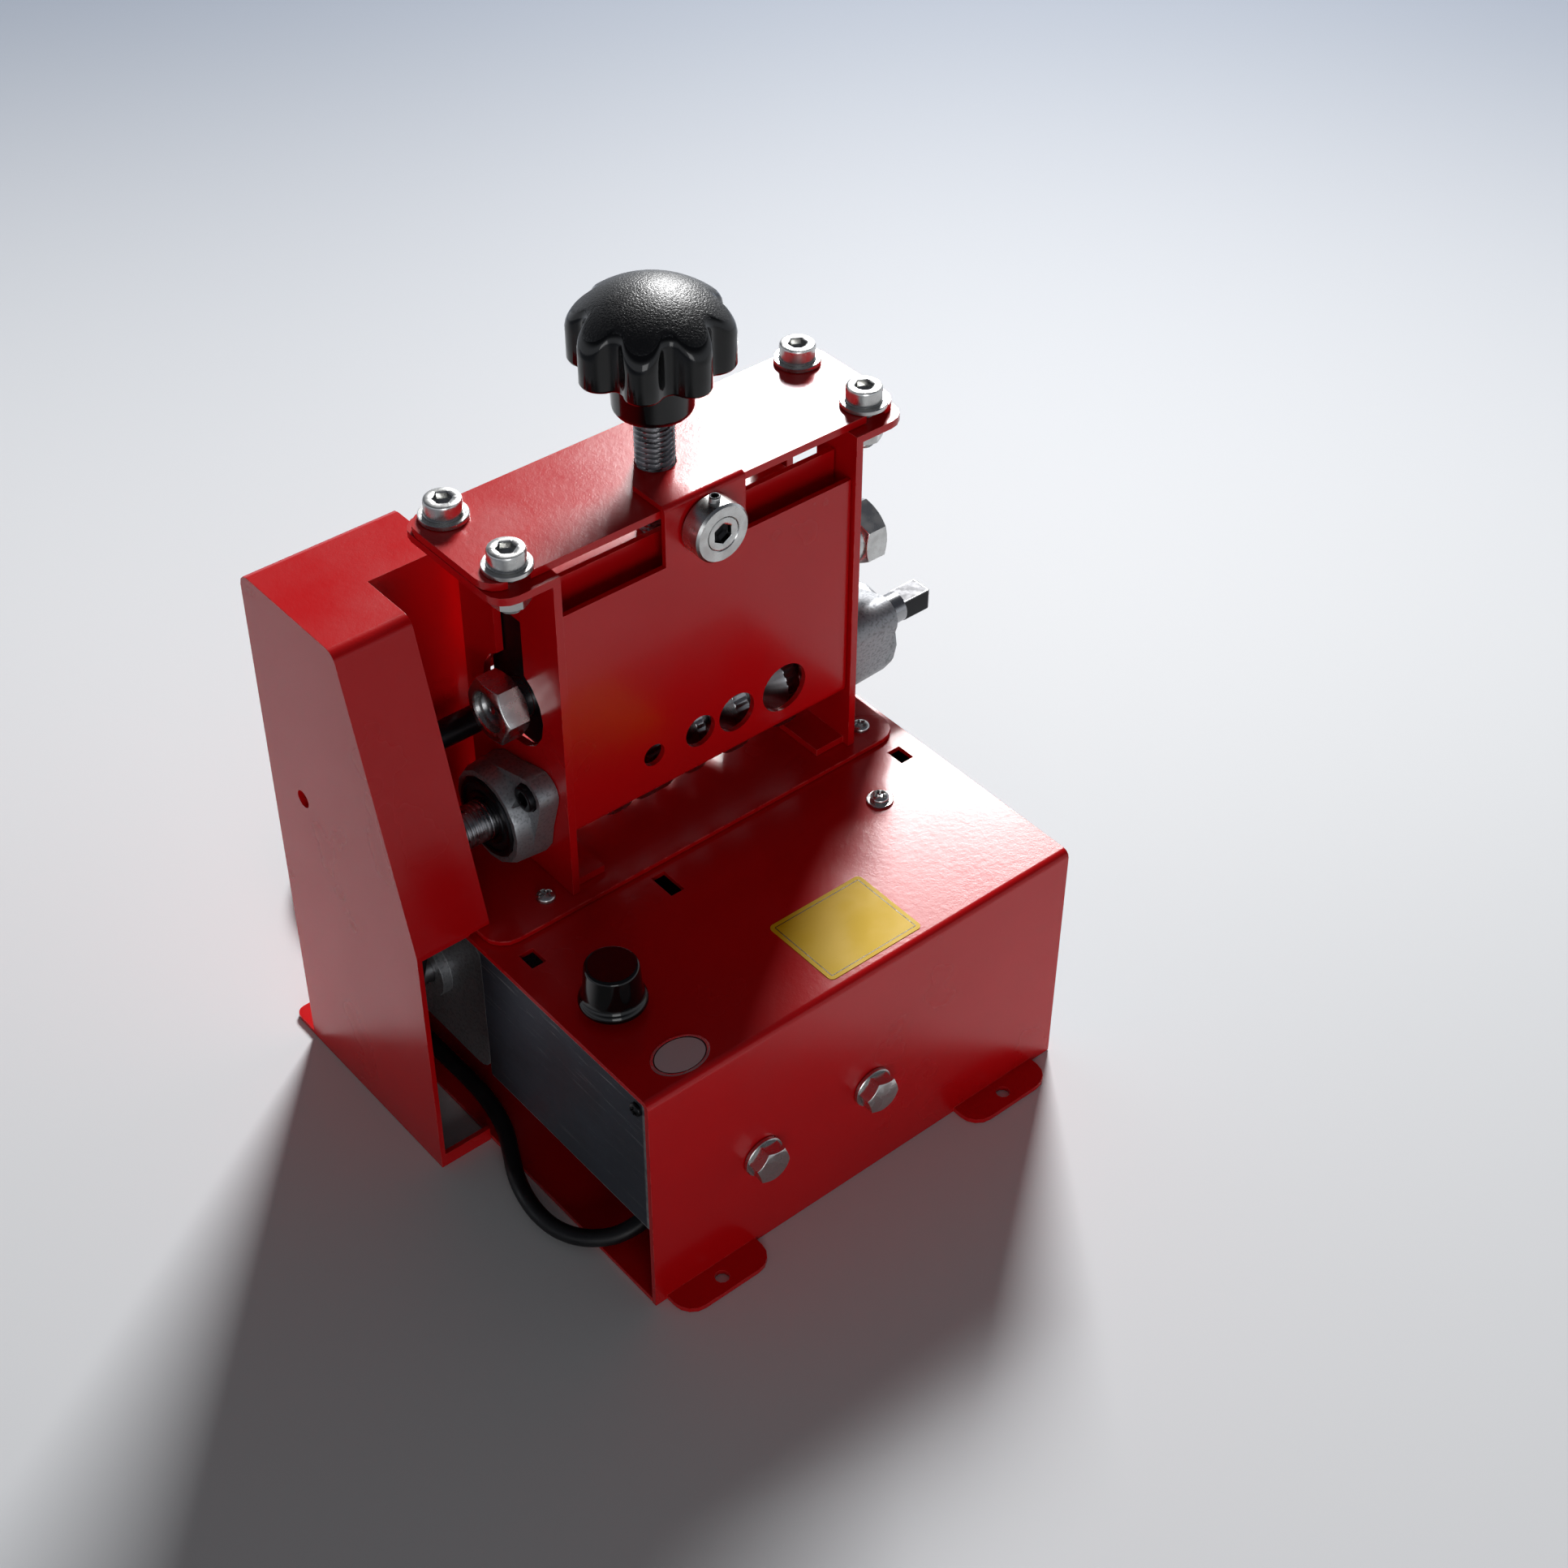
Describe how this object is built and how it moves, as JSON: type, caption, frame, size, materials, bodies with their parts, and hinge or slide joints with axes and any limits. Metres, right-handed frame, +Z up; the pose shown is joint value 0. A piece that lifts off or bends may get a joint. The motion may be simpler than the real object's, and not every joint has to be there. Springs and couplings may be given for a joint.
{
  "type": "cable stripping machine",
  "caption": "Bench-top motorised cable stripper: red folded steel base and frame, grooved feed roller, disc blades on a screw-down carriage, guide-hole cover, belt guard and speed dial.",
  "frame": {"origin": "middle of the folded base at floor level", "axes": "+X along the shafts towards the square drive end, +Y from the cable holes to the outlet, +Z up"},
  "size_m": [0.252, 0.3018, 0.3135],
  "materials": {
    "red_paint": "glossy powder coat",
    "galvanised_sheet": "bright galvanised sheet",
    "zinc_plate": "zinc plated",
    "turned_steel": "turned and ground",
    "cast_metal": "cast, satin",
    "black_steel": "black oxide",
    "black_plastic": "moulded, semi-gloss",
    "black_rubber": "satin",
    "circuit_board": "solder mask",
    "motor_paint": "satin"
  },
  "bodies": {
    "root": {"base_shell": "red_paint", "bottom_plate": "red_paint", "control_tray": "galvanised_sheet", "right_end_plate": "galvanised_sheet", "speed_control": "zinc_plate", "control_board": "circuit_board", "motor_cradle": "galvanised_sheet", "cradle_bolt_1": "zinc_plate", "cradle_bolt_2": "zinc_plate", "gearbox": "cast_metal", "motor": "motor_paint", "motor_saddle": "galvanised_sheet", "drive_belt": "black_rubber", "frame_base": "red_paint", "frame_plate_left": "red_paint", "frame_plate_right": "red_paint", "bearing_housing_left": "cast_metal", "bearing_housing_right": "cast_metal", "bearing_insert_left": "black_steel", "bearing_insert_right": "black_steel", "bearing_bolt_left_1": "black_steel", "bearing_bolt_left_2": "black_steel", "bearing_bolt_right_1": "black_steel", "bearing_bolt_right_2": "black_steel", "top_plate": "red_paint", "top_bolt_1": "zinc_plate", "top_bolt_2": "zinc_plate", "top_bolt_3": "zinc_plate", "top_bolt_4": "zinc_plate", "spindle_nut": "zinc_plate", "front_cover": "red_paint", "rear_cover": "red_paint", "cover_collar": "zinc_plate", "collar_screw": "black_steel", "belt_guard": "red_paint", "guard_pillar": "black_steel", "cord_bracket": "galvanised_sheet", "strain_relief": "black_rubber", "mains_lead": "black_rubber", "lead_coil": "black_rubber", "coil_tie": "black_plastic", "mains_plug": "black_plastic"},
    "drive": {"gearbox_shaft": "turned_steel", "drive_pulley": "zinc_plate"},
    "feed": {"roller_shaft": "turned_steel", "feed_roller": "turned_steel", "driven_pulley": "zinc_plate"},
    "carriage": {"carriage": "red_paint", "blade_shaft": "turned_steel", "shaft_nut_left": "zinc_plate", "shaft_nut_right": "zinc_plate"},
    "blades": {"cutter_blade_1": "turned_steel", "cutter_blade_2": "turned_steel", "cutter_blade_3": "turned_steel", "cutter_blade_4": "turned_steel"},
    "spindle": {"spindle": "turned_steel", "star_knob": "black_plastic"},
    "dial": {"speed_knob": "black_plastic"}
  },
  "joints": [
    {"name": "roller_spin", "type": "hinge", "parent": "root", "child": "feed", "pos_m": [0, 0.027, 0.132], "axis": [1, 0, 0], "continuous": true},
    {"name": "motor_spin", "type": "hinge", "parent": "root", "child": "drive", "pos_m": [0, 0.05, 0.052], "axis": [1, 0, 0], "continuous": true},
    {"name": "carriage_slide", "type": "slide", "parent": "root", "child": "carriage", "axis": [0, 0, 1], "range_m": [-0.0025, 0.008]},
    {"name": "blade_spin", "type": "hinge", "parent": "carriage", "child": "blades", "pos_m": [0, 0.027, 0.177], "axis": [1, 0, 0], "continuous": true},
    {"name": "spindle_turn", "type": "hinge", "parent": "carriage", "child": "spindle", "pos_m": [0.0065, 0.027, 0.25], "axis": [0, 0, 1], "range_deg": [-451, 1441]},
    {"name": "dial_turn", "type": "hinge", "parent": "root", "child": "dial", "pos_m": [-0.0774, -0.0522, 0.11], "axis": [0, 0, 1], "range_deg": [-300, 0]}
  ],
  "couplings": [
    {"joint": "motor_spin", "follows": "roller_spin", "ratio": 1},
    {"joint": "spindle_turn", "follows": "carriage_slide", "rad_per_m": 3141.6}
  ]
}
